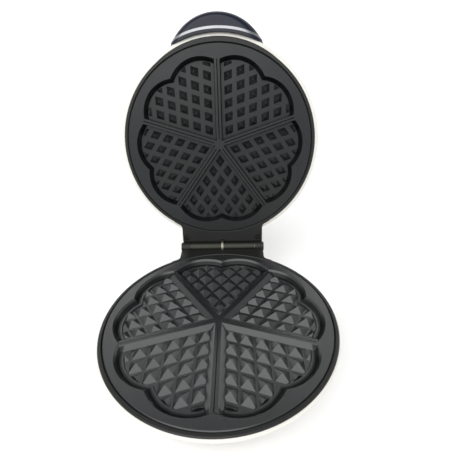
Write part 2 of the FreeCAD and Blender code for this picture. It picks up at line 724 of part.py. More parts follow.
def bottom_cover():
    """Black cover with screw recesses, foot sockets and vents."""
    cover = cover_plan(COVER_R, 44.0, 128.5, BASE_BOTTOM, BASE_BOTTOM + COVER_T)
    holes = []
    for place in bottom_screw_places():
        holes.append(rod(3.3, BASE_BOTTOM - 1, place.z, place.x, place.y))
        holes.append(rod(1.4, BASE_BOTTOM, BASE_BOTTOM + 4, place.x, place.y))
    for x, y in FOOT_PLACES.values():
        holes.append(rod(3.0, BASE_BOTTOM - 1, BASE_BOTTOM + 4, x, y))
    for row in range(7):
        x = (row - 3) * 9.0
        holes.append(box(x - 1.5, x + 1.5, -14, 14, BASE_BOTTOM - 1, BASE_BOTTOM + 4))
    return cover.cut(holes)


def bottom_screws():
    """Screws of the bottom cover."""
    return Part.makeCompound([screw(3.0, 0.8, 1.4, 9.0, place) for place in bottom_screw_places()])


def foot(x, y):
    """Rubber foot with a stem through the cover and a retaining bead."""
    pad = rod(FOOT_R, -RIM_HEIGHT, BASE_BOTTOM, x, y)
    rim = max(pad.Edges, key=lambda e: (-e.CenterOfMass.z, e.Length))
    pad = pad.makeFillet(1.5, [rim])
    stem = rod(3.0, BASE_BOTTOM, BASE_BOTTOM + COVER_T, x, y)
    bead = rod(4.0, BASE_BOTTOM + COVER_T, BASE_BOTTOM + COVER_T + 2, x, y)
    return joined([pad, stem, bead])


def dome(points, low):
    """A solid under a smooth outline of (radius, height) points that ends on the axis."""
    first = points[0]
    last = points[-1]
    edges = [
        spline(points),
        Part.makeLine(V(last[0], 0, last[1]), V(0, 0, low)),
        Part.makeLine(V(0, 0, low), V(first[0], 0, low)),
    ]
    if first[1] > low:
        edges.append(Part.makeLine(V(first[0], 0, low), V(first[0], 0, first[1])))
    return Part.Face(Part.Wire(edges)).revolve(V(0, 0, 0), Z_AXIS, 360)


def lid_outer():
    """The lid's white dome as a solid, in the closed lid."""
    lip = LID_GAP + BEZEL_LIP
    rise = LID_GAP
    points = [(105.6, lip), (109.0, rise + 4.0), (110.0, rise + 8.0), (107.6, rise + 16.5),
              (99.0, rise + 25.0), (78.0, rise + 32.0), (40.0, rise + 36.2), (0.0, rise + 37.5)]
    centre = V(0, BROW_Y, lip)
    flare = Part.makeCone(BROW_R + 0.4, BROW_LIP_R, BROW_DROP, centre, Z_AXIS)
    behind = Part.makeCone(BROW_LIP_R, BROW_LIP_R - 6.0, 9.0, centre + Z_AXIS * BROW_DROP, Z_AXIS)
    return dome(points, lip).fuse([flare, behind])


def lid_inner():
    """The space inside the lid's dome."""
    rise = LID_GAP
    points = [(101.5, rise + 8.0), (106.0, rise + 12.0), (103.6, rise + 17.5), (96.5, rise + 23.4),
              (77.0, rise + 29.5), (39.5, rise + 33.7), (0.0, rise + 35.0)]
    seat = rod(BEZEL_SKIRT_R, -5, LID_GAP + PLATE_RIM_T + LEDGE_T)
    return dome(points, rise + 5.0).fuse(seat)


def lid_shell():
    """White dome with the roof over the lid's neck."""
    roof = box(-NECK_HALF, NECK_HALF, 60, HINGE_Y + LID_NECK_BACK, LID_NECK_DEPTH, LID_NECK_ROOF)
    outer = lid_outer().fuse(roof)
    neck_room = box(-NECK_HALF, NECK_HALF, 80, 140, -5, LID_NECK_DEPTH)
    cuts = [lid_inner(), neck_room]
    for x in (-LAMP_X, LAMP_X):
        cuts.append(rod(LAMP_R, 20, 60, x, LAMP_Y))
    for side in (-1, 1):
        seat = lid_neck_screw_place(side)
        cuts.append(rod(1.5, LID_NECK_DEPTH - 1, LID_NECK_DEPTH + 2, seat.x, seat.y))
    return outer.cut(cuts + handle_screw_holes(1.6))


# ---------------------------------------------------------------- handle
def hood_solid(grow):
    """The handle's round hood as a solid, grown outwards on all sides."""
    low = LID_GAP + BEZEL_LIP
    edge = HANDLE_R + grow
    base = low - HANDLE_BULGE - grow
    profile = [(0.0, base), (30.0, base + 0.1), (edge - 9.0, base + 0.7), (edge - 1.8, low + 1.6),
               (edge + 2.2, low + 6.0), (edge + 3.0, low + 10.5), (edge + 0.6, low + 17.0),
               (edge - 10.0, low + 23.5 + grow), (20.0, low + 26.5 + grow), (0.0, low + 27.0 + grow)]
    outline = [spline(profile), Part.makeLine(V(0, 0, profile[-1][1]), V(0, 0, base))]
    solid = Part.Face(Part.Wire(outline)).revolve(V(0, 0, 0), Z_AXIS, 360)
    solid.translate(V(0, HANDLE_Y, 0))
    return solid


def ring_room(inner, outer):
    """Everything between two radii about the plate centre, in front of it."""
    ring = rod(outer, -10, 60)
    if inner > 0:
        ring = ring.cut(rod(inner, -10, 60))
    return ring.common(box(-200, 200, -200, -40, -10, 60))


def lip_room():
    """The space below the lid's flared lip, kept open so that the lip shows."""
    low = LID_GAP + BEZEL_LIP
    return rod(BROW_LIP_R + 0.1, low - 10, low + BROW_DROP, 0, BROW_Y)


def handle_cores():
    """Two bosses along y inside the handle."""
    return [Part.makeCylinder(4.0, 14.0, V(x, -124.0, HANDLE_CORE_Z), Y_AXIS)
            for x in (-HANDLE_CORE_X, HANDLE_CORE_X)]


def handle_collar():
    """Black collar between the lid's dome and the bright strip."""
    solid = hood_solid(0).common(ring_room(0, COLLAR_R))
    hollow = hood_solid(-HANDLE_WALL).common(ring_room(0, COLLAR_R - 2.0)).cut(handle_cores())
    cuts = [lid_outer(), hollow, lip_room()] + handle_screw_holes(1.6)
    return clean_solid(solid.cut(cuts))


def handle_screw_places():
    """Seats of the handle's screws, inside the lid's dome."""
    return [V(x, HANDLE_SCREW_Y, HANDLE_CORE_Z) for x in (-HANDLE_CORE_X, HANDLE_CORE_X)]


def handle_screw_holes(radius):
    """The screws' way through the dome, the collar and the hood."""
    return [Part.makeCylinder(radius, 19.0, place, Y_AXIS * -1) for place in handle_screw_places()]


def handle_screws():
    """Two screws from inside the lid into the hood's bosses."""
    return Part.makeCompound([turned(screw(3.0, 1.8, 1.5, 18.0, place), 90, place, X_AXIS)
                              for place in handle_screw_places()])


def clean_solid(shape):
    """The largest solid of a cut, without slivers."""
    return max(shape.Solids, key=lambda solid: solid.Volume)


def handle_trim():
    """Bright strip that runs round the handle."""
    room = ring_room(COLLAR_R, COLLAR_R + TRIM_WIDTH)
    strip = hood_solid(TRIM_PROUD).common(room)
    return clean_solid(strip.cut([hood_solid(-HANDLE_WALL), lid_outer()]))


def handle_hood():
    """Glossy black hood that the hand takes."""
    front = COLLAR_R + TRIM_WIDTH
    solid = hood_solid(0).common(ring_room(front, 200))
    hollow = hood_solid(-HANDLE_WALL).cut(handle_cores())
    return clean_solid(solid.cut([hollow] + handle_screw_holes(1.5)))


# ---------------------------------------------------------------- lamps and wiring
def lamp_lens(x):
    """A domed lens in the lid."""
    top = LID_GAP + 34.8
    lens = rod(LAMP_R, top - 4.5, top, x, LAMP_Y)
    cap = Part.makeSphere(6.0, V(x, LAMP_Y, top - 4.6)).common(rod(LAMP_R, top, top + 3, x, LAMP_Y))
    flange = rod(LAMP_R + 1.2, top - 6.0, top - 4.5, x, LAMP_Y)
    return joined([lens, cap, flange])


def lamp_board():
    """Small board that carries the two lamps."""
    top = LID_GAP + 26.0
    return box(-20, 20, LAMP_Y - 7, LAMP_Y + 7, top - 1.6, top)


def lamp(x):
    """Neon lamp standing on the board."""
    foot_z = LID_GAP + 26.0
    return rod(2.2, foot_z, foot_z + 2.2, x, LAMP_Y)


def terminal_block():
    """Block where the mains lead is joined."""
    block = box(-36, -6, 96, 110, -36.4, -26)
    wells = []
    for k in range(3):
        x = -31 + k * 10.0
        wells.append(rod(2.2, -30, -25, x, 99.5))
        wells.append(rod(2.2, -30, -25, x, 106.5))
    return block.cut(wells)


def cord_bush():
    """Rubber bush in the back wall, with the bore for the mains lead."""
    start = BASE_NECK_BACK - 8.0
    body = Part.makeCylinder(7.0, 8.0, V(INLET_X, start, INLET_Z), Y_AXIS)
    flange = Part.makeCylinder(9.0, 3.0, V(INLET_X, BASE_NECK_BACK, INLET_Z), Y_AXIS)
    nose = Part.makeCone(8.0, 6.0, 8.0, V(INLET_X, BASE_NECK_BACK + 3.0, INLET_Z), Y_AXIS)
    bore = Part.makeCylinder(INLET_BORE, 40.0, V(INLET_X, start - 5, INLET_Z), Y_AXIS)
    return joined([body, flange, nose]).cut(bore)


def wire_run(points):
    """A round lead through a list of points, with rounded corners."""
    pieces = []
    for start, end in zip(points, points[1:]):
        step = end - start
        pieces.append(Part.makeCylinder(LEAD_R, step.Length, start, step))
    pieces += [Part.makeSphere(LEAD_R, corner) for corner in points[1:-1]]
    return joined(pieces)


def base_lead():
    """Wires from the block, over the screw post and up into the hollow pin."""
    x = LEAD_ENTRY_X
    block_y = 103.0
    block_z = -31.5
    crossing_z = -21.0
    return wire_run([
        V(-36.0, block_y, block_z), V(x, block_y, block_z), V(x, block_y, crossing_z),
        V(x, HINGE_Y, crossing_z), V(x, HINGE_Y, HINGE_Z), V(-SIDE_GAP, HINGE_Y, HINGE_Z),
    ])


def lid_lead():
    """Wires from the hollow pin into the lid's neck and on towards the heater."""
    corner = V(LEAD_EXIT_X, HINGE_Y, HINGE_Z)
    angle = math.radians(LEAD_ANGLE)
    bend = corner + V(0, math.cos(angle), math.sin(angle)) * 12.0
    return wire_run([V(SIDE_GAP, HINGE_Y, HINGE_Z), corner, bend, V(bend.x, 98.0, bend.z)])


# ---------------------------------------------------------------- writing
def placed(shape):
    """Stand a base piece on the table."""
    copy = shape.copy()
    copy.translate(V(0, PLATE_Y, RIM_HEIGHT))
    return copy


def opened(shape):
    """Open a lid piece against its stop and stand it on the table."""
    return placed(turned(shape, -LID_OPEN, V(0, HINGE_Y, HINGE_Z), X_AXIS))


def base_pieces():
    """Every piece that stays with the base."""
    pieces = {
        "base_shell": base_shell(),
        "base_bezel": base_bezel(),
        "bottom_cover": bottom_cover(),
        "bottom_screws": bottom_screws(),
        "lower_plate": lower_plate(),
        "lower_plate_screws": plate_screws(),
        "lower_heater": heater(),
        "lower_heater_insulators": heater_insulators(),
        "lower_heater_tabs": heater_tabs(),
        "lower_heat_shield": heat_shield(12.0),
        "lower_shield_screws": shield_screws(),
        "thermostat": thermostat(),
        "thermal_fuse": thermal_fuse(),
        "fuse_clip": fuse_clip(),
        "terminal_block": terminal_block(),
        "cord_bush": cord_bush(),
        "base_lead": base_lead(),
        "hinge_pin": hinge_pin(),
        "hinge_ring": hinge_ring(),
        "hinge_cap_left": hinge_cap(-1),
        "hinge_cap_right": hinge_cap(1),
    }
    for name, (x, y) in FOOT_PLACES.items():
        pieces["foot_" + name] = foot(x, y)
    return pieces


def lid_pieces():
    """Every piece that turns with the lid."""
    return {
        "lid_shell": lid_shell(),
        "lid_bezel": lid_bezel(),
        "lid_neck_screws": lid_neck_screws(),
        "upper_plate": upper_plate(),
        "upper_plate_screws": facing_up(plate_screws()),
        "upper_heater": facing_up(heater()),
        "upper_heater_insulators": facing_up(heater_insulators()),
        "upper_heater_tabs": facing_up(heater_tabs()),
        "upper_heat_shield": facing_up(heat_shield(0)),
        "upper_shield_screws": facing_up(shield_screws()),
        "hinge_sleeve_left": hinge_sleeve(-1),
        "hinge_sleeve_right": hinge_sleeve(1),
        "handle_collar": handle_collar(),
        "handle_trim": handle_trim(),
        "handle_hood": handle_hood(),
        "handle_screws": handle_screws(),
        "lamp_board": lamp_board(),
        "power_lamp": lamp(-LAMP_X),
        "ready_lamp": lamp(LAMP_X),
        "power_lens": lamp_lens(-LAMP_X),
        "ready_lens": lamp_lens(LAMP_X),
        "lid_lead": lid_lead(),
    }


def main():
    """Write one STEP file for each piece."""
    os.makedirs("parts", exist_ok=True)
    whole = FreeCAD.BoundBox()
    for make, stand in ((base_pieces, placed), (lid_pieces, opened)):
        for name, shape in make().items():
            piece = stand(shape)
            piece.exportStep("parts/" + name + ".step")
            whole.add(piece.BoundBox)
            print(name, len(piece.Solids), round(piece.Volume), piece.isValid())
    print("box", whole)


main()
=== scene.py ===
"""A five-heart waffle maker with its lid open, finished for a studio picture.

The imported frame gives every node's mesh and the body that it moves with.  The classes
below refine the nodes that can be seen, add the small moulded and turned details that
the frame leaves out, and give each piece its finish.
"""

import json
import logging
import math
from dataclasses import dataclass
from enum import Enum
from typing import Iterable, Sequence, Union

import bmesh
import bpy
from mathutils import Matrix, Vector


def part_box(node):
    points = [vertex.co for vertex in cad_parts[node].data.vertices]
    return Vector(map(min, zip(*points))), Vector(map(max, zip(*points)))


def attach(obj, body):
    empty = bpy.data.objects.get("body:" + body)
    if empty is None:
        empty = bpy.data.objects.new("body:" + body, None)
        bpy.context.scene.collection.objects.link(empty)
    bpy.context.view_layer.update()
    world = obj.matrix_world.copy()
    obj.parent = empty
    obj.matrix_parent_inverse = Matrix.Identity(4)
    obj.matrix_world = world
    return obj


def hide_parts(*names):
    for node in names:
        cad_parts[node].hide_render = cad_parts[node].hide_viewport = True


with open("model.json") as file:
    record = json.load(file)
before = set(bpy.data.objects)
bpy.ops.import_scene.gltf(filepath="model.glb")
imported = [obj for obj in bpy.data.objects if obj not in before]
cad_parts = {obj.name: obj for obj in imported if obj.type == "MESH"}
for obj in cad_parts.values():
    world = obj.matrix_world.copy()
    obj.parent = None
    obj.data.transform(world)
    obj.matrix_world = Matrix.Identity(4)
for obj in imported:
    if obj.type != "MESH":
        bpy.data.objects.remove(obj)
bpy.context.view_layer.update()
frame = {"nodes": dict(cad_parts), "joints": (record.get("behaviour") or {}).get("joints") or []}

log = logging.getLogger("waffle_maker")

MM = 0.001
MERGE = 0.002 * MM                 # corners closer than this are one corner
FLAT = math.radians(0.3)           # faces within this angle are one flat face
SHARP = math.radians(28.0)         # edges over this angle are softened
SMOOTH = math.radians(38.0)        # edges under this angle are shaded smooth
TURN_STEPS = 72                    # facets round a small turned piece
BEND_STEPS = 12                    # facets round the sweep's bend
CORNER_STEPS = 6                   # facets round a foot's lower corner

HINGE_JOINT = frame["joints"][0]
PLATE_REACH = 120.0 * MM           # from the hinge axis forward to a plate's middle
LOBE_CENTRE = 56.0 * MM            # the plates' outline is ten lobes about their middle
LOBE_RADIUS = 39.0 * MM
HALF_LOBE = math.radians(18.0)

Colour = tuple[float, float, float]
Number = Union[float, "Value"]


class Body(Enum):
    """The two bodies that the hinge joins."""

    BASE = "base"
    LID = "lid"


# ---------------------------------------------------------------- shader sheets
class Value:
    """A node's output that can be used in a Python expression."""

    def __init__(self, sheet: "Nodes", socket: bpy.types.NodeSocket) -> None:
        """Keep the nodes that new ones join, and the socket."""
        self.sheet = sheet
        self.socket = socket

    def maths(self, operation: str, first: Number, second: Number) -> "Value":
        """Add one Math node.

        Args:
            operation: the node's operation.
            first: its first number or link.
            second: its second number or link.

        Returns:
            The node's result.
        """
        return self.sheet.node("ShaderNodeMath", {"operation": operation}, {0: first, 1: second})

    def __add__(self, other: Number) -> "Value":
        """The sum."""
        return self.maths("ADD", self, other)

    def __radd__(self, other: Number) -> "Value":
        """The sum, reflected."""
        return self.maths("ADD", other, self)

    def __sub__(self, other: Number) -> "Value":
        """The difference."""
        return self.maths("SUBTRACT", self, other)

    def __rsub__(self, other: Number) -> "Value":
        """The difference, reflected."""
        return self.maths("SUBTRACT", other, self)

    def __mul__(self, other: Number) -> "Value":
        """The product."""
        return self.maths("MULTIPLY", self, other)

    def __rmul__(self, other: Number) -> "Value":
        """The product, reflected."""
        return self.maths("MULTIPLY", other, self)

    def __pow__(self, other: Number) -> "Value":
        """The power."""
        return self.maths("POWER", self, other)

    def below(self, edge: float) -> "Value":
        """One where this is less than edge, and zero elsewhere."""
        return self.maths("LESS_THAN", self, edge)

    def above(self, edge: float) -> "Value":
        """One where this is more than edge, and zero elsewhere."""
        return self.maths("GREATER_THAN", self, edge)


class Nodes:
    """A node tree, and the one way in which nodes are added to it."""

    def __init__(self, tree: bpy.types.NodeTree) -> None:
        """Keep the tree."""
        self.tree = tree

    def join(self, socket: bpy.types.NodeSocket, value: object) -> None:
        """Link a value to a socket, or set the socket to a plain number, vector or colour.

        Args:
            socket: the socket.
            value: a link, or the number, vector or colour to set.
        """
        if isinstance(value, Value):
            self.tree.links.new(value.socket, socket)
        elif socket.type == "RGBA":
            socket.default_value = (*value, 1.0)
        else:
            socket.default_value = value

    def node(self, kind: str, settings: dict | None = None, inputs: dict | None = None,
             output: int | str = 0) -> Value:
        """Add any node.

        Args:
            kind: the node's type.
            settings: its properties, set first; stops gives a ramp's (place, colour) pairs.
            inputs: values or links of its sockets, by name or number.
            output: which output to return.

        Returns:
            That output.
        """
        made = self.tree.nodes.new(kind)
        for key, value in (settings or {}).items():
            if key == "stops":
                ramp = made.color_ramp.elements
                for element, (place, colour) in zip((ramp[0], ramp[-1]), value):
                    element.position = place
                    element.color = (*colour, 1.0)
            else:
                setattr(made, key, value)
        for key, value in (inputs or {}).items():
            self.join(made.inputs[key], value)
        return Value(self, made.outputs[output])


class Sheet(Nodes):
    """One material's nodes: a Principled shader and what feeds it."""

    def __init__(self, name: str) -> None:
        """Make a material with a shader joined to its output.

        Args:
            name: the material's name.
        """
        self.material = bpy.data.materials.new(name)
        self.material.use_nodes = True
        super().__init__(self.material.node_tree)
        self.tree.nodes.clear()
        self.shader = self.tree.nodes.new("ShaderNodeBsdfPrincipled")
        output = self.tree.nodes.new("ShaderNodeOutputMaterial")
        self.tree.links.new(self.shader.outputs[0], output.inputs["Surface"])

    def feed(self, **values: object) -> None:
        """Set the shader's sockets, named with underscores for spaces."""
        for name, value in values.items():
            self.join(self.shader.inputs[name.replace("_", " ")], value)

    def place(self, stretch: Sequence[float] = (1.0, 1.0, 1.0),
              centre: Sequence[float] = (0.0, 0.0, 0.0),
              turn: Sequence[float] = (0.0, 0.0, 0.0)) -> Value:
        """Object coordinates, stretched, turned and centred.

        Args:
            stretch: how many times finer the pattern is along each axis.
            centre: the point that becomes the pattern's origin.
            turn: the pattern's turn about each axis, in radians.

        Returns:
            The mapped coordinates.
        """
        here = self.node("ShaderNodeTexCoord", output="Object")
        moved = self.node("ShaderNodeVectorMath", {"operation": "SUBTRACT"}, {0: here, 1: centre})
        return self.node("ShaderNodeMapping", inputs={"Vector": moved, "Scale": stretch, "Rotation": turn})

    def noise(self, scale: float, detail: float = 2.0,
              stretch: Sequence[float] = (1.0, 1.0, 1.0)) -> Value:
        """Noise about 0.5.

        Args:
            scale: waves in a metre.
            detail: octaves above the first.
            stretch: how many times finer it is along each axis.

        Returns:
            The noise's value.
        """
        return self.node("ShaderNodeTexNoise",
                         inputs={"Vector": self.place(stretch), "Scale": scale, "Detail": detail})

    def blend(self, factor: Number, first: object, second: object) -> Value:
        """Mix two colours.

        Args:
            factor: 0 for the first and 1 for the second.
            first: a colour or a link.
            second: a colour or a link.

        Returns:
            The mixed colour.
        """
        return self.node("ShaderNodeMix", {"data_type": "RGBA"}, {0: factor, 6: first, 7: second},
                         output=2)

    def bump(self, height: Value, strength: float, distance: float) -> None:
        """Feed a height, in units of distance, to the shader's normal."""
        self.feed(Normal=self.node("ShaderNodeBump", inputs={
            "Height": height, "Strength": strength, "Distance": distance}))


def shade(colour: Colour, factor: float) -> Colour:
    """A colour made lighter or darker."""
    red, green, blue = colour
    return (red * factor, green * factor, blue * factor)


# ---------------------------------------------------------------- finishes
@dataclass(frozen=True)
class Finish:
    """What every finish has: a name, and a material that is made once."""

    name: str

    def material(self) -> bpy.types.Material:
        """The finish's material, under a name that no CAD material has.

        Returns:
            The material, made on the first call.
        """
        label = self.name + "_finish"
        made = bpy.data.materials.get(label)
        if made is None:
            sheet = Sheet(label)
            self.lay(sheet)
            made = sheet.material
        return made

    def lay(self, sheet: Sheet) -> None:
        """Lay the finish on a sheet of nodes."""
        raise NotImplementedError


@dataclass(frozen=True)
class MouldedPlastic(Finish):
    """Plastic with the fine grain of its mould.

    Attributes:
        colour: the plastic's colour.
        roughness: its mean roughness.
        grain: how strongly the grain shows.
        grain_scale: grains in a metre.
        cloud: how far the colour drifts over the piece.
        coat: a clear polish over it.
        shine: how strongly it reflects, 0.5 for common plastic.
        ripple: how far the rubbed patches stand out of the grain.
    """

    colour: Colour
    roughness: float
    grain: float
    grain_scale: float = 1500.0
    cloud: float = 0.06
    coat: float = 0.0
    shine: float = 0.5
    ripple: float = 0.3

    def lay(self, sheet: Sheet) -> None:
        """Cloudy colour, uneven polish and a moulded grain.

        Args:
            sheet: the material's nodes.
        """
        cloud = sheet.noise(16.0, 3.0)
        grain = sheet.noise(self.grain_scale, 2.0)
        rubbed = sheet.noise(70.0, 4.0, (1.0, 1.0, 2.5))
        sheet.feed(Base_Color=sheet.blend(cloud, shade(self.colour, 1.0 - self.cloud),
                                          shade(self.colour, 1.0 + self.cloud)),
                   Roughness=(rubbed - 0.5) * 0.16 + (grain - 0.5) * 0.1 + self.roughness,
                   Coat_Weight=self.coat, Coat_Roughness=0.06, Specular_IOR_Level=self.shine)
        sheet.bump(grain + rubbed * self.ripple, self.grain, 0.12 * MM)


@dataclass(frozen=True)
class NonStickCoating(Finish):
    """Sprayed coating on a cast plate, edges lighter as wear and painted highlight, with a painted shade
    band at the foot of the lobed wall.

    Attributes:
        cool: the coating's bluish tone.
        warm: its greenish tone.
        roughness: its mean roughness.
        pivot: the point about which the plate is turned.
        turn: the turn that lays the plate flat, in radians.
        rim: the rim's height above the pivot once flat.
        facing: 1 for a plate that looks up once flat, and -1 for one that looks down.
        wall: where the painted shade band starts and ends, in from the lobes' outline.
        crest: the depth above which the ridges are kept out of the painted shade.
        polish: how much clear polish lies over it outside the painted shade band.
        fade: the width over which the painted shade band's inner edge fades.
    """

    cool: Colour
    warm: Colour
    roughness: float
    pivot: tuple[float, float, float]
    turn: float
    rim: float
    facing: int
    wall: tuple[float, float]
    crest: float
    polish: float
    fade: float = 1.3 * MM

    def painted_shade_band(self, sheet: Sheet) -> Value:
        """Painted shade: a dark, dull band along the foot of the lobed wall.

        Args:
            sheet: the material's nodes.

        Returns:
            One in the painted shade band and zero elsewhere, with a soft inner edge.
        """
        flat = sheet.place(centre=self.pivot, turn=(self.turn, 0.0, 0.0))
        across, along, height = (sheet.node("ShaderNodeSeparateXYZ", inputs={0: flat}, output=part)
                                 for part in range(3))
        along = along + PLATE_REACH
        radius = (across * across + along * along) ** 0.5
        bearing = along.maths("ARCTAN2", along, across)
        folded = bearing.maths("PINGPONG", bearing, HALF_LOBE)
        outward = radius * folded.maths("COSINE", folded, 0.0) - LOBE_CENTRE
        sideways = radius * folded.maths("SINE", folded, 0.0)
        inset = LOBE_RADIUS - (outward * outward + sideways * sideways) ** 0.5
        start, end = self.wall
        soft = (end - inset) * (1.0 / self.fade)
        soft = soft.maths("MINIMUM", soft.maths("MAXIMUM", soft, 0.0), 1.0)
        depth = (self.rim - height) * float(self.facing)
        return inset.above(start) * soft * depth.above(self.crest) * radius.above(LOBE_CENTRE)

    def lay(self, sheet: Sheet) -> None:
        """Two tones in slow clouds, fine sprayed grain, metal flecks, edges lighter as wear and painted
        highlight, and a painted shade band.

        Args:
            sheet: the material's nodes.
        """
        cloud = sheet.noise(14.0, 3.0)
        stain = sheet.noise(60.0, 5.0)
        grain = sheet.noise(1900.0, 3.0)
        cells = sheet.node("ShaderNodeTexVoronoi", inputs={"Vector": sheet.place(), "Scale": 900.0})
        fleck = cells.below(0.16)
        # lighter, smoother bevel faces: partly wear, partly a painted highlight along crests and rims
        edge_wear_and_highlight = sheet.node("ShaderNodeAttribute", {"attribute_name": "edge"}, output="Fac")
        # painted shade: a near-black band without clear coat along the foot of the lobed wall
        painted_shade_band = self.painted_shade_band(sheet)
        tone = sheet.blend(cloud, self.cool, self.warm)
        seasoned = sheet.blend(stain * 0.45, tone, shade(self.cool, 0.55))
        sparkled = sheet.blend(fleck * 0.22, seasoned, shade(self.cool, 4.0))
        # painted highlight and wear: the bevel faces are blended towards a much lighter tone
        with_edge_wear_and_highlight = sheet.blend(edge_wear_and_highlight * 0.5, sparkled, shade(self.warm, 4.0))
        # painted shade: the band is blended to near-black over everything else
        sheet.feed(Base_Color=sheet.blend(painted_shade_band * 0.85, with_edge_wear_and_highlight, shade(self.cool, 0.12)),
                   Roughness=(stain - 0.5) * 0.22 + (grain - 0.5) * 0.12 - edge_wear_and_highlight * 0.06 + self.roughness,
                   Coat_Weight=(1.0 - painted_shade_band) * self.polish, Coat_Roughness=0.26, Specular_IOR_Level=0.25)
        sheet.bump(grain + stain * 0.4, 0.3, 0.08 * MM)


@dataclass(frozen=True)
class TurnedMetal(Finish):
    """Metal with the fine lines of the lathe or the brush.

    Attributes:
        colour: the metal's colour.
        roughness: its mean roughness.
        stretch: how fine the lines are along each axis.
        depth: how strongly the lines show.
    """

    colour: Colour
    roughness: float
    stretch: tuple[float, float, float]
    depth: float = 0.25

    def lay(self, sheet: Sheet) -> None:
        """Fine lines over a slow drift of tone.

        Args:
            sheet: the material's nodes.
        """
        lines = sheet.noise(60.0, 4.0, self.stretch)
        drift = sheet.noise(90.0, 3.0)
        sheet.feed(Base_Color=sheet.blend(drift, shade(self.colour, 0.82), self.colour),
                   Roughness=(lines - 0.5) * 0.3 + (drift - 0.5) * 0.12 + self.roughness, Metallic=1.0)
        sheet.bump(lines, self.depth, 0.04 * MM)


@dataclass(frozen=True)
class HeatedSteel(Finish):
    """Bare steel that heat has tinted.

    Attributes:
        cold: the steel's own colour.
        hot: the tint of its hottest patches.
        roughness: its mean roughness.
    """

    cold: Colour
    hot: Colour
    roughness: float

    def lay(self, sheet: Sheet) -> None:
        """Steel with slow bands of tint.

        Args:
            sheet: the material's nodes.
        """
        tint = sheet.noise(35.0, 3.0)
        scratch = sheet.noise(400.0, 3.0, (1.0, 6.0, 1.0))
        sheet.feed(Base_Color=sheet.blend(tint, self.cold, self.hot), Metallic=0.9,
                   Roughness=(scratch - 0.5) * 0.3 + self.roughness)
        sheet.bump(scratch, 0.25, 0.05 * MM)


@dataclass(frozen=True)
class Rubber(Finish):
    """Dull black rubber with a dusty bloom.

    Attributes:
        colour: its colour.
    """

    colour: Colour

    def lay(self, sheet: Sheet) -> None:
        """Dark rubber, paler where dust holds.

        Args:
            sheet: the material's nodes.
        """
        dust = sheet.noise(120.0, 5.0)
        grain = sheet.noise(1800.0, 2.0)
        sheet.feed(Base_Color=sheet.blend(dust * 0.5, self.colour, shade(self.colour, 3.0)),
                   Roughness=dust * 0.2 + 0.62)
        sheet.bump(grain, 0.4, 0.1 * MM)


@dataclass(frozen=True)
class TintedLens(Finish):
    """Clear coloured plastic with fine rings inside.

    Attributes:
        colour: the tint.
        node: the lens that the rings are centred on.
    """

    colour: Colour
    node: str

    def lay(self, sheet: Sheet) -> None:
        """Tinted plastic that passes light, with rings.

        Args:
            sheet: the material's nodes.
        """
        low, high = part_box(self.node)
        across = sheet.place(centre=tuple((low + high) / 2))
        rings = sheet.node("ShaderNodeTexWave", {"wave_type": "RINGS", "rings_direction": "Y"},
                           {"Vector": across, "Scale": 220.0})
        dust = sheet.noise(300.0, 3.0)
        sheet.feed(Base_Color=sheet.blend(dust, shade(self.colour, 0.8), self.colour),
                   Roughness=dust * 0.12 + 0.06, Transmission_Weight=0.45, IOR=1.49)
        sheet.bump(rings, 0.3, 0.15 * MM)


@dataclass(frozen=True)
class FiredCeramic(Finish):
    """Matt ceramic with small dark specks.

    Attributes:
        colour: its colour.
    """

    colour: Colour

    def lay(self, sheet: Sheet) -> None:
        """Pale body with specks and a fine grain.

        Args:
            sheet: the material's nodes.
        """
        cells = sheet.node("ShaderNodeTexVoronoi", inputs={"Vector": sheet.place(), "Scale": 700.0})
        speck = cells.below(0.14)
        grain = sheet.noise(1200.0, 3.0)
        sheet.feed(Base_Color=sheet.blend(speck * 0.5, self.colour, shade(self.colour, 0.35)),
                   Roughness=grain * 0.2 + 0.45)
        sheet.bump(grain, 0.3, 0.08 * MM)


@dataclass(frozen=True)
class WovenSleeve(Finish):
    """Braided glass-fibre sleeving over wires.

    Attributes:
        colour: its colour.
    """

    colour: Colour

    def lay(self, sheet: Sheet) -> None:
        """Two sets of strands that cross at an angle.

        Args:
            sheet: the material's nodes.
        """
        left, right = (sheet.node("ShaderNodeTexWave", {"bands_direction": "DIAGONAL"},
                                  {"Vector": sheet.place((1.0, way, way)), "Scale": 260.0})
                       for way in (1.0, -1.0))
        braid = left * right
        sheet.feed(Base_Color=sheet.blend(braid, shade(self.colour, 0.45), self.colour),
                   Roughness=0.85 - braid * 0.2)
        sheet.bump(braid, 0.7, 0.2 * MM)


@dataclass(frozen=True)
class Laminate(Finish):
    """Glass-filled board with its cloth showing through.

    Attributes:
        colour: its colour.
    """

    colour: Colour

    def lay(self, sheet: Sheet) -> None:
        """A woven cloth under a smooth resin.

        Args:
            sheet: the material's nodes.
        """
        warp, weft = (sheet.node("ShaderNodeTexWave", {"bands_direction": way},
                                 {"Vector": sheet.place(), "Scale": 300.0}) for way in ("X", "Z"))
        cloth = warp * weft
        sheet.feed(Base_Color=sheet.blend(cloth, shade(self.colour, 0.7), self.colour),
                   Roughness=cloth * 0.15 + 0.4)
        sheet.bump(cloth, 0.15, 0.05 * MM)


@dataclass(frozen=True)
class PaperSweep(Finish):
    """Matt white paper for the floor.

    Attributes:
        colour: its colour.
    """

    colour: Colour

    def lay(self, sheet: Sheet) -> None:
        """Paper with the faintest tooth.

        Args:
            sheet: the material's nodes.
        """
        tooth = sheet.noise(900.0, 2.0)
        sheet.feed(Base_Color=sheet.blend(tooth, shade(self.colour, 0.985), self.colour), Roughness=0.9,
                   Specular_IOR_Level=0.1)


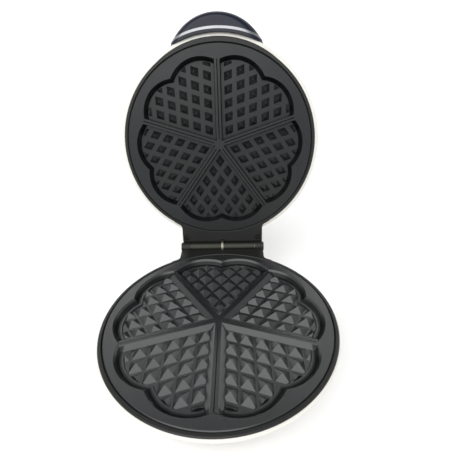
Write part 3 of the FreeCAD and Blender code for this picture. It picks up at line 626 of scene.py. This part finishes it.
WHITE_SHELL = MouldedPlastic("white_shell", (0.74, 0.725, 0.675), roughness=0.3, grain=0.04,
                             grain_scale=1100.0, cloud=0.015, coat=0.25, ripple=0.0)
BLACK_BEZEL = MouldedPlastic("black_bezel", (0.010, 0.011, 0.010), roughness=0.36, grain=0.3,
                             grain_scale=1700.0, cloud=0.10, shine=0.35)
BLACK_COVER = MouldedPlastic("black_cover", (0.026, 0.026, 0.027), roughness=0.55, grain=0.5,
                             grain_scale=1300.0, cloud=0.08)
BLOCK_PLASTIC = MouldedPlastic("block_nylon", (0.50, 0.47, 0.40), roughness=0.5, grain=0.2,
                               grain_scale=900.0)
GLOSS_BLACK = MouldedPlastic("gloss_handle", (0.007, 0.010, 0.020), roughness=0.22, grain=0.02,
                             grain_scale=300.0, cloud=0.10, shine=0.3)
COOL_COAT = (0.009, 0.010, 0.014)
WARM_COAT = (0.011, 0.013, 0.010)
# both coatings carry a painted shade band at the wall's foot; wall gives its span in from the outline
LOWER_COATING = NonStickCoating("lower_coating", COOL_COAT, WARM_COAT, roughness=0.34,
                                pivot=tuple(HINGE_JOINT["pos_m"]), turn=0.0, rim=1.4 * MM, facing=1,
                                wall=(0.4 * MM, 6.4 * MM), crest=1.8 * MM, polish=1.0)
UPPER_COATING = NonStickCoating("upper_coating", COOL_COAT, WARM_COAT, roughness=0.38,
                                pivot=tuple(HINGE_JOINT["pos_m"]),
                                turn=math.radians(HINGE_JOINT["range_deg"][1]), rim=2.2 * MM, facing=-1,
                                wall=(3.6 * MM, 8.0 * MM), crest=0.4 * MM, polish=0.3)
SATIN_SLEEVE = TurnedMetal("satin_sleeve", (0.042, 0.043, 0.036), 0.40, (60.0, 1.0, 1.0))
HINGE_STEEL = TurnedMetal("hinge_steel", (0.50, 0.49, 0.47), 0.34, (50.0, 1.0, 1.0))
RING_METAL = TurnedMetal("hinge_ring", (0.22, 0.215, 0.17), 0.33, (40.0, 4.0, 4.0))
BRIGHT_TRIM = TurnedMetal("bright_trim", (0.34, 0.34, 0.36), 0.3, (1.0, 30.0, 30.0), 0.06)
SCREW_STEEL = TurnedMetal("screw_steel", (0.04, 0.04, 0.038), 0.5, (20.0, 20.0, 20.0))
SHIELD_STEEL = HeatedSteel("shield_steel", (0.55, 0.55, 0.54), (0.50, 0.43, 0.33), 0.38)
HEATER_SHEATH = HeatedSteel("heater_sheath", (0.20, 0.19, 0.18), (0.16, 0.12, 0.10), 0.5)
TAB_METAL = HeatedSteel("tab_metal", (0.72, 0.66, 0.48), (0.60, 0.50, 0.34), 0.35)
FOOT_RUBBER = Rubber("foot_rubber", (0.022, 0.022, 0.023))
CERAMIC = FiredCeramic("ceramic", (0.70, 0.67, 0.60))
LEAD_SLEEVE = WovenSleeve("lead_sleeve", (0.74, 0.71, 0.62))
BOARD = Laminate("lamp_board", (0.30, 0.22, 0.10))
LAMP_GLASS = FiredCeramic("lamp_glass", (0.72, 0.72, 0.74))
RED_LENS = TintedLens("red_lens", (0.62, 0.03, 0.02), "power_lens")
GREEN_LENS = TintedLens("green_lens", (0.03, 0.45, 0.10), "ready_lens")
PAPER = PaperSweep("paper_sweep", (0.93, 0.93, 0.93))


# ---------------------------------------------------------------- bench work
def node_copy(node: str, pierced: bool = False) -> bmesh.types.BMesh:
    """A node's mesh with its corners merged and its flat faces made whole.

    Args:
        node: the node's name.
        pierced: its flat faces have holes in them, so they stay in triangles.

    Returns:
        A new bmesh.
    """
    mesh = bmesh.new()
    mesh.from_mesh(frame["nodes"][node].data)
    bmesh.ops.remove_doubles(mesh, verts=mesh.verts, dist=MERGE)
    if not pierced:
        bmesh.ops.dissolve_limit(mesh, angle_limit=FLAT, verts=mesh.verts, edges=mesh.edges)
    return mesh


def soften(mesh: bmesh.types.BMesh, width: float, segments: int = 2) -> None:
    """Round the sharp edges, and mark the new faces in the face attribute edge.

    Args:
        mesh: the mesh to change.
        width: the rounding's width in metres.
        segments: the facets across it.
    """
    mark = mesh.faces.layers.float.new("edge")
    edges = [edge for edge in mesh.edges if edge.is_manifold and edge.calc_face_angle() > SHARP]
    made = bmesh.ops.bevel(mesh, geom=edges, offset=width, offset_type="OFFSET", segments=segments,
                           profile=0.5, affect="EDGES", clamp_overlap=True, material=-1)
    for face in made["faces"]:
        face[mark] = 1.0


def spun(outline: Iterable[Sequence[float]], centre: Vector, axis: Vector) -> bmesh.types.BMesh:
    """A closed outline turned round an axis.

    Args:
        outline: (radius, height along the axis) pairs, in metres.
        centre: where the axis starts.
        axis: its direction.

    Returns:
        A new bmesh with its faces outwards.
    """
    mesh = bmesh.new()
    along = axis.normalized()
    across = along.orthogonal().normalized()
    corners = [mesh.verts.new(centre + across * radius + along * height) for radius, height in outline]
    edges = [mesh.edges.new(pair) for pair in zip(corners, corners[1:] + corners[:1])]
    bmesh.ops.spin(mesh, geom=corners + edges, cent=centre, axis=along, angle=math.tau,
                   steps=TURN_STEPS, use_merge=True)
    bmesh.ops.remove_doubles(mesh, verts=mesh.verts, dist=MERGE)
    bmesh.ops.recalc_face_normals(mesh, faces=mesh.faces)
    return mesh


def merge_into(whole: bmesh.types.BMesh, part: bmesh.types.BMesh) -> None:
    """Add one bmesh to another and free it.

    Args:
        whole: the bmesh that grows.
        part: the bmesh that is added and freed.
    """
    store = bpy.data.meshes.new("part")
    part.to_mesh(store)
    whole.from_mesh(store)
    part.free()
    bpy.data.meshes.remove(store)


def mounted(mesh: bmesh.types.BMesh, name: str, body: Body, finish: Finish,
            replaces: Sequence[str] = ()) -> bpy.types.Object:
    """Turn a bmesh into a piece that rides on a body.

    Args:
        mesh: the piece's shape, which is freed.
        name: the piece's name.
        body: the body that it rides on.
        finish: its finish.
        replaces: the nodes that it stands for.

    Returns:
        The new object.
    """
    data = bpy.data.meshes.new(name)
    mesh.to_mesh(data)
    mesh.free()
    data.shade_smooth()
    data.set_sharp_from_angle(angle=SMOOTH)
    data.materials.append(finish.material())
    piece = bpy.data.objects.new(name, data)
    bpy.context.scene.collection.objects.link(piece)
    even = piece.modifiers.new("even_normals", "WEIGHTED_NORMAL")
    even.keep_sharp = True
    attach(piece, body.value)
    if replaces:
        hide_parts(*replaces)
    log.info("%s: %d faces on %s", name, len(data.polygons), body.value)
    return piece


def refined(node: str, body: Body, finish: Finish, width: float, segments: int = 2,
            pierced: bool = False) -> bpy.types.Object:
    """Stand a softened copy in for a node.

    Args:
        node: the node's name.
        body: its body.
        finish: the copy's finish.
        width: the rounding of its sharp edges, in metres.
        segments: facets across the rounding.
        pierced: its flat faces have holes in them.

    Returns:
        The new piece.
    """
    mesh = node_copy(node, pierced)
    soften(mesh, width, segments)
    return mounted(mesh, node + "_finished", body, finish, [node])


def dressed(node: str, finish: Finish) -> None:
    """Give a node that keeps its mesh a finish.

    Args:
        node: the node's name.
        finish: its finish.
    """
    for slot in frame["nodes"][node].material_slots:
        slot.material = finish.material()
    log.info("%s: dressed in %s", node, finish.name)


# ---------------------------------------------------------------- sub-assemblies
@dataclass
class HingeAxis:
    """Where the hinge is, and how a closed lid's point moves to its open place.

    Attributes:
        pivot: a point on the axis.
        swing: the lid's whole travel in radians.
    """

    pivot: Vector
    swing: float

    @classmethod
    def from_frame(cls) -> "HingeAxis":
        """Read the axis from the frame's only joint."""
        return cls(Vector(HINGE_JOINT["pos_m"]), math.radians(HINGE_JOINT["range_deg"][1]))

    def opened(self) -> Matrix:
        """The transform that takes the closed lid to its open place."""
        turn = Matrix.Rotation(-self.swing, 4, "X")
        return Matrix.Translation(self.pivot) @ turn @ Matrix.Translation(-self.pivot)


@dataclass
class CookingPlates:
    """The two coated castings.

    Attributes:
        edge: rounding of their edges.
    """

    edge: float = 0.32 * MM

    def build(self) -> None:
        """Soften each plate's edges, so that crests and rims catch the light."""
        for node, body, coating in (("lower_plate", Body.BASE, LOWER_COATING),
                                    ("upper_plate", Body.LID, UPPER_COATING)):
            refined(node, body, coating, self.edge, pierced=True)


@dataclass
class Bezels:
    """The black rings round the plates, with the hinge necks.

    Attributes:
        edge: rounding of the rings' edges.
        screw_edge: rounding of the neck screws' edges.
        rib_count: ribs on one knuckle.
        rib_radius: a rib's outer radius.
        rib_width: a rib's width along the hinge.
        rib_depth: how far a rib reaches in from its outer radius.
        knuckle: where a knuckle's ribs start and end, out from the middle.
    """

    edge: float = 0.45 * MM
    screw_edge: float = 0.15 * MM
    rib_count: int = 5
    rib_radius: float = 6.35 * MM
    rib_width: float = 0.8 * MM
    rib_depth: float = 0.9 * MM
    knuckle: tuple[float, float] = (39.2 * MM, 47.4 * MM)

    def ribs(self, hinge: HingeAxis, side: int) -> bmesh.types.BMesh:
        """Moulded ribs round one knuckle.

        Args:
            hinge: the hinge's place.
            side: -1 for the left knuckle and 1 for the right.

        Returns:
            All the ribs in one mesh.
        """
        whole = bmesh.new()
        start, end = self.knuckle
        pitch = (end - start) / self.rib_count
        half = self.rib_width / 2
        outer = self.rib_radius
        inner = outer - self.rib_depth
        outline = [(inner, -half), (outer - half / 2, -half), (outer, -half / 2),
                   (outer, half / 2), (outer - half / 2, half), (inner, half)]
        for place in range(self.rib_count):
            middle = Vector((side * (start + pitch * (place + 0.5)), hinge.pivot.y, hinge.pivot.z))
            merge_into(whole, spun(outline, middle, Vector((1, 0, 0))))
        return whole

    def build(self, hinge: HingeAxis) -> None:
        """Both rings, their screws and the knuckles' ribs.

        Args:
            hinge: the hinge's place.
        """
        refined("base_bezel", Body.BASE, BLACK_BEZEL, self.edge)
        refined("lid_bezel", Body.LID, BLACK_BEZEL, self.edge)
        refined("lid_neck_screws", Body.LID, SCREW_STEEL, self.screw_edge)
        for side, name in ((-1, "knuckle_ribs_left"), (1, "knuckle_ribs_right")):
            mounted(self.ribs(hinge, side), name, Body.BASE, BLACK_BEZEL)


@dataclass
class Hinge:
    """The pin, its sleeves, the ring between them and the end caps.

    Attributes:
        edge: rounding of the sleeves', the ring's and the caps' edges.
        pin_edge: rounding of the pin's edges.
    """

    edge: float = 0.35 * MM
    pin_edge: float = 0.2 * MM

    def build(self) -> None:
        """Soften each turned piece."""
        for node in ("hinge_sleeve_left", "hinge_sleeve_right"):
            refined(node, Body.LID, SATIN_SLEEVE, self.edge)
        refined("hinge_ring", Body.BASE, RING_METAL, self.edge, 3)
        refined("hinge_pin", Body.BASE, HINGE_STEEL, self.pin_edge)
        for node in ("hinge_cap_left", "hinge_cap_right"):
            refined(node, Body.BASE, BLACK_BEZEL, self.edge, 3)


@dataclass
class Shells:
    """The white bowl and dome, the bottom cover and its feet.

    Attributes:
        edge: rounding of the shells' edges.
        cover_edge: rounding of the cover's edges.
        screw_edge: rounding of its screws' edges.
        foot_radius: a foot's pad.
        foot_height: from the table to the cover.
        stem: radius of the stem through the cover.
        stem_top: the stem's height above the table.
        bead: radius of the bead that holds the foot.
        bead_top: the bead's height above the table.
        groove: depth of the sole's rings.
        wall: width of a ring and of the gap after it.
        first_ring: radius of the innermost ring.
        rim: radius of the pad's rounded lower corner.
        lean: how far a ring's side leans.
        pad_edge: the chamfer at the pad's top.
        bead_edge: the chamfer at the bead's top.
    """

    edge: float = 0.5 * MM
    cover_edge: float = 0.35 * MM
    screw_edge: float = 0.15 * MM
    foot_radius: float = 8.0 * MM
    foot_height: float = 5.0 * MM
    stem: float = 3.0 * MM
    stem_top: float = 7.4 * MM
    bead: float = 4.0 * MM
    bead_top: float = 9.4 * MM
    groove: float = 0.7 * MM
    wall: float = 1.1 * MM
    first_ring: float = 1.6 * MM
    rim: float = 1.3 * MM
    lean: float = 0.15 * MM
    pad_edge: float = 0.4 * MM
    bead_edge: float = 0.8 * MM

    def foot(self, node: str) -> bmesh.types.BMesh:
        """A rubber foot with grip rings in its sole.

        Args:
            node: the foot that it stands for.

        Returns:
            The foot's mesh.
        """
        low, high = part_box(node)
        centre = Vector(((low.x + high.x) / 2, (low.y + high.y) / 2, 0.0))
        outline = [(0.0, self.groove)]
        ring = self.first_ring
        while ring + 2 * self.wall < self.foot_radius - self.wall:
            end = ring + self.wall
            outline += [(ring, self.groove), (ring + self.lean, 0.0), (end, 0.0),
                        (end + self.lean, self.groove)]
            ring += 2 * self.wall
        flat = self.foot_radius - self.rim
        outline += [(flat - self.wall, self.groove), (flat - self.wall + self.lean, 0.0), (flat, 0.0)]
        for step in range(1, CORNER_STEPS + 1):
            angle = math.radians(90.0 * step / CORNER_STEPS)
            outline.append((flat + self.rim * math.sin(angle), self.rim - self.rim * math.cos(angle)))
        outline += [(self.foot_radius, self.foot_height - self.pad_edge),
                    (self.foot_radius - self.pad_edge, self.foot_height),
                    (self.stem, self.foot_height), (self.stem, self.stem_top), (self.bead, self.stem_top),
                    (self.bead, self.bead_top - self.bead_edge),
                    (self.bead - self.bead_edge, self.bead_top), (0.0, self.bead_top)]
        return spun(outline, centre, Vector((0, 0, 1)))

    def build(self) -> None:
        """Shells, cover, feet and the cover's screws."""
        refined("base_shell", Body.BASE, WHITE_SHELL, self.edge)
        refined("lid_shell", Body.LID, WHITE_SHELL, self.edge)
        refined("bottom_cover", Body.BASE, BLACK_COVER, self.cover_edge)
        refined("bottom_screws", Body.BASE, SCREW_STEEL, self.screw_edge)
        for place in ("front_left", "front_right", "rear_left", "rear_right"):
            node = "foot_" + place
            mounted(self.foot(node), node + "_finished", Body.BASE, FOOT_RUBBER, [node])


@dataclass
class Handle:
    """The handle's collar, bright strip and glossy hood.

    Attributes:
        edge: rounding of the black pieces' edges.
        trim_edge: rounding of the strip's edges.
    """

    edge: float = 0.4 * MM
    trim_edge: float = 0.3 * MM

    def build(self) -> None:
        """Soften the three shells of the handle."""
        refined("handle_collar", Body.LID, GLOSS_BLACK, self.edge, 3)
        refined("handle_hood", Body.LID, GLOSS_BLACK, self.edge, 3)
        refined("handle_trim", Body.LID, BRIGHT_TRIM, self.trim_edge, 3)


@dataclass
class Lamps:
    """The two lamps in the dome, with their lenses and surrounds.

    Attributes:
        bore: the surround's inner radius.
        rim: its outer radius.
        proud: how far it stands above the dome.
        sunk: how far it reaches into the dome.
        back: from a lens's middle up to the dome.
        lens_edge: rounding of the lenses' edges.
    """

    bore: float = 3.75 * MM
    rim: float = 5.3 * MM
    proud: float = 0.7 * MM
    sunk: float = 1.2 * MM
    back: float = 1.1 * MM
    lens_edge: float = 0.25 * MM

    def surround(self, node: str, outward: Vector) -> bmesh.types.BMesh:
        """A bright ring round one lens.

        Args:
            node: the lens.
            outward: the dome's outward direction.

        Returns:
            The ring's mesh.
        """
        low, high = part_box(node)
        seat = (low + high) / 2 + outward * self.back
        third = (self.rim - self.bore) / 3
        outline = [(self.bore, -self.sunk), (self.bore, self.proud - third / 2),
                   (self.bore + third, self.proud), (self.rim - third, self.proud),
                   (self.rim, self.proud - third), (self.rim, -self.sunk)]
        return spun(outline, seat, outward)

    def build(self, hinge: HingeAxis) -> None:
        """Lenses, surrounds, lamps and their board.

        Args:
            hinge: the hinge's place.
        """
        outward = hinge.opened().to_3x3() @ Vector((0, 0, 1))
        for which, finish, slot in (("power", RED_LENS, "red_lens"), ("ready", GREEN_LENS, "green_lens")):
            lens = which + "_lens"
            refined(lens, Body.LID, finish, self.lens_edge, 3)
            ring = self.surround(lens, outward)
            mounted(ring, which + "_surround", Body.LID, BRIGHT_TRIM)
            dressed(which + "_lamp", LAMP_GLASS)
        dressed("lamp_board", BOARD)


@dataclass
class MainsInlet:
    """The ribbed rubber bush in the back wall.

    Attributes:
        bore: the lead's way through.
        barrel: radius of the part in the wall.
        flange: radius of the flange.
        nose: the nose's radius at its root and at its tip.
        barrel_length: the barrel's length.
        flange_length: the flange's thickness.
        nose_length: the nose's length.
        rib_count: ribs round the nose.
        rib_depth: depth of the grooves between them.
        taper: how far a rib narrows towards its outer end.
        soft: the chamfer of the bush's edges.
    """

    bore: float = 3.4 * MM
    barrel: float = 7.0 * MM
    flange: float = 9.0 * MM
    nose: tuple[float, float] = (8.0 * MM, 6.0 * MM)
    barrel_length: float = 8.0 * MM
    flange_length: float = 3.0 * MM
    nose_length: float = 8.0 * MM
    rib_count: int = 4
    rib_depth: float = 0.9 * MM
    taper: float = 0.15 * MM
    soft: float = 0.5 * MM

    def outline(self) -> list[tuple[float, float]]:
        """The bush's section, from its inner end outwards.

        Returns:
            (radius, height along the bush) pairs in metres.
        """
        soft = self.soft
        root = self.barrel_length + self.flange_length
        tip = root + self.nose_length
        points = [(self.bore, 0.0), (self.barrel - soft, 0.0), (self.barrel, soft),
                  (self.barrel, self.barrel_length), (self.flange - soft, self.barrel_length),
                  (self.flange, self.barrel_length + soft), (self.flange, root - soft),
                  (self.flange - soft, root), (self.nose[0], root)]
        pitch = self.nose_length / self.rib_count
        for rib in range(self.rib_count):
            start = root + rib * pitch
            wide = self.nose[0] + (self.nose[1] - self.nose[0]) * (rib + 0.3) / self.rib_count
            narrow = wide - self.rib_depth
            points += [(wide, start + 0.25 * pitch), (wide - self.taper, start + 0.6 * pitch),
                       (narrow, start + 0.7 * pitch), (narrow, start + 0.95 * pitch)]
        return points + [(self.nose[1] - soft, tip), (self.bore, tip)]

    def build(self) -> None:
        """The bush in place of its node."""
        low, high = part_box("cord_bush")
        start = Vector(((low.x + high.x) / 2, low.y, (low.z + high.z) / 2))
        mesh = spun(self.outline(), start, Vector((0, 1, 0)))
        mounted(mesh, "cord_bush_finished", Body.BASE, FOOT_RUBBER, ["cord_bush"])


@dataclass
class Innards:
    """Everything that the shells hide."""

    def build(self) -> None:
        """Dress each hidden node."""
        for level in ("lower", "upper"):
            dressed(level + "_heater", HEATER_SHEATH)
            dressed(level + "_heater_insulators", CERAMIC)
            dressed(level + "_heater_tabs", TAB_METAL)
            dressed(level + "_heat_shield", SHIELD_STEEL)
            dressed(level + "_shield_screws", SCREW_STEEL)
            dressed(level + "_plate_screws", SCREW_STEEL)
        dressed("thermostat", CERAMIC)
        dressed("thermal_fuse", TAB_METAL)
        dressed("fuse_clip", SHIELD_STEEL)
        dressed("terminal_block", BLOCK_PLASTIC)
        dressed("base_lead", LEAD_SLEEVE)
        dressed("lid_lead", LEAD_SLEEVE)
        dressed("handle_screws", SCREW_STEEL)


# ---------------------------------------------------------------- studio
@dataclass
class Studio:
    """A white paper sweep, soft light from the front and above, and the camera.

    Attributes:
        eye: the camera's place.
        azimuth: how far it stands round to the right, in degrees.
        elevation: how far it looks down, in degrees.
        roll: its tilt in degrees.
        lens: its focal length in millimetres, on a 36 mm sensor.
        ambient: the sky's strength near the horizon.
        horizon: the height, as the sine of its angle, below which the sky is brightest.
        overhead: the height above which it is darkest.
        zenith: how bright it is up there, as a share of the brightest.
        key_from: the direction that the front light comes from.
        key_strength: its strength.
        key_spread: its width in degrees.
    """

    eye: Vector
    azimuth: float = 1.67
    elevation: float = 30.16
    roll: float = -1.82
    lens: float = 26.8
    ambient: float = 0.85
    horizon: float = 0.35
    overhead: float = 0.9
    zenith: float = 0.35
    key_from: tuple[float, float, float] = (-0.25, -0.75, 1.0)
    key_strength: float = 2.4
    key_spread: float = 75.0

    def sweep(self) -> None:
        """A floor that curves up into a wall far behind."""
        near, far, bend, top = -4.0, 3.0, 1.0, 5.0
        half = 6.0
        mesh = bmesh.new()
        profile = [(near, 0.0), (far - bend, 0.0)]
        for step in range(1, BEND_STEPS + 1):
            angle = math.radians(90.0 * step / BEND_STEPS)
            profile.append((far - bend + bend * math.sin(angle), bend - bend * math.cos(angle)))
        profile.append((far, top))
        corners = [mesh.verts.new((-half, y, z)) for y, z in profile]
        edges = [mesh.edges.new(pair) for pair in zip(corners, corners[1:])]
        made = bmesh.ops.extrude_edge_only(mesh, edges=edges)
        moved = [item for item in made["geom"] if isinstance(item, bmesh.types.BMVert)]
        bmesh.ops.translate(mesh, verts=moved, vec=(2 * half, 0.0, 0.0))
        bmesh.ops.recalc_face_normals(mesh, faces=mesh.faces)
        data = bpy.data.meshes.new("paper_sweep")
        mesh.to_mesh(data)
        mesh.free()
        data.shade_smooth()
        data.materials.append(PAPER.material())
        floor = bpy.data.objects.new("paper_sweep", data)
        bpy.context.scene.collection.objects.link(floor)

    def sun(self, name: str, towards: Vector, strength: float, spread: float) -> None:
        """A very soft distant light.

        Args:
            name: the light's name.
            towards: the direction that it comes from.
            strength: its strength.
            spread: its width in degrees.
        """
        lamp = bpy.data.lights.new(name, "SUN")
        lamp.energy = strength
        lamp.angle = math.radians(spread)
        stand = bpy.data.objects.new(name, lamp)
        stand.rotation_mode = "QUATERNION"
        stand.rotation_quaternion = (-towards).to_track_quat("-Z", "Y")
        bpy.context.scene.collection.objects.link(stand)

    def sky(self) -> None:
        """A pale sky, bright low down and darker overhead."""
        world = bpy.data.worlds.new("studio")
        world.use_nodes = True
        nodes = Nodes(world.node_tree)
        white = (1.0, 1.0, 1.0)
        towards = nodes.node("ShaderNodeTexCoord", output="Generated")
        height = nodes.node("ShaderNodeSeparateXYZ", inputs={0: towards}, output="Z")
        stops = ((self.horizon, white), (self.overhead, shade(white, self.zenith)))
        tone = nodes.node("ShaderNodeValToRGB", {"stops": stops}, {"Fac": height})
        ground = world.node_tree.nodes["Background"]
        nodes.join(ground.inputs["Color"], tone)
        nodes.join(ground.inputs["Strength"], self.ambient)
        bpy.context.scene.world = world

    def camera(self) -> None:
        """The camera, in front of the open lid and above it."""
        azimuth = math.radians(self.azimuth)
        elevation = math.radians(self.elevation)
        roll = math.radians(self.roll)
        back = Vector((math.sin(azimuth) * math.cos(elevation), -math.cos(azimuth) * math.cos(elevation),
                       math.sin(elevation)))
        right = (-back).cross(Vector((0, 0, 1))).normalized()
        up = right.cross(-back)
        across = right * math.cos(roll) + up * math.sin(roll)
        upward = up * math.cos(roll) - right * math.sin(roll)
        data = bpy.data.cameras.new("camera")
        data.lens = self.lens
        data.sensor_width = 36.0       # millimetres, as the lens
        data.clip_start = 0.01
        data.clip_end = 50.0
        camera = bpy.data.objects.new("camera", data)
        turn = Matrix((across, upward, back)).transposed().to_4x4()
        camera.matrix_world = Matrix.Translation(self.eye) @ turn
        bpy.context.scene.collection.objects.link(camera)
        bpy.context.scene.camera = camera

    def build(self) -> None:
        """Set up the sweep, the lights, the sky and the camera."""
        self.camera()
        self.sweep()
        self.sky()
        self.sun("front_light", Vector(self.key_from), self.key_strength, self.key_spread)
        bpy.context.scene.view_settings.view_transform = "Standard"


def main() -> None:
    """Build every sub-assembly in order."""
    logging.basicConfig(level=logging.INFO, format="%(name)s %(message)s")
    hinge = HingeAxis.from_frame()
    Studio(eye=Vector((0.0185, -0.2711, 0.2699))).build()
    CookingPlates().build()
    Bezels().build(hinge)
    Hinge().build()
    Shells().build()
    Handle().build()
    Lamps().build(hinge)
    MainsInlet().build()
    Innards().build()


if __name__ == "__main__":
    main()
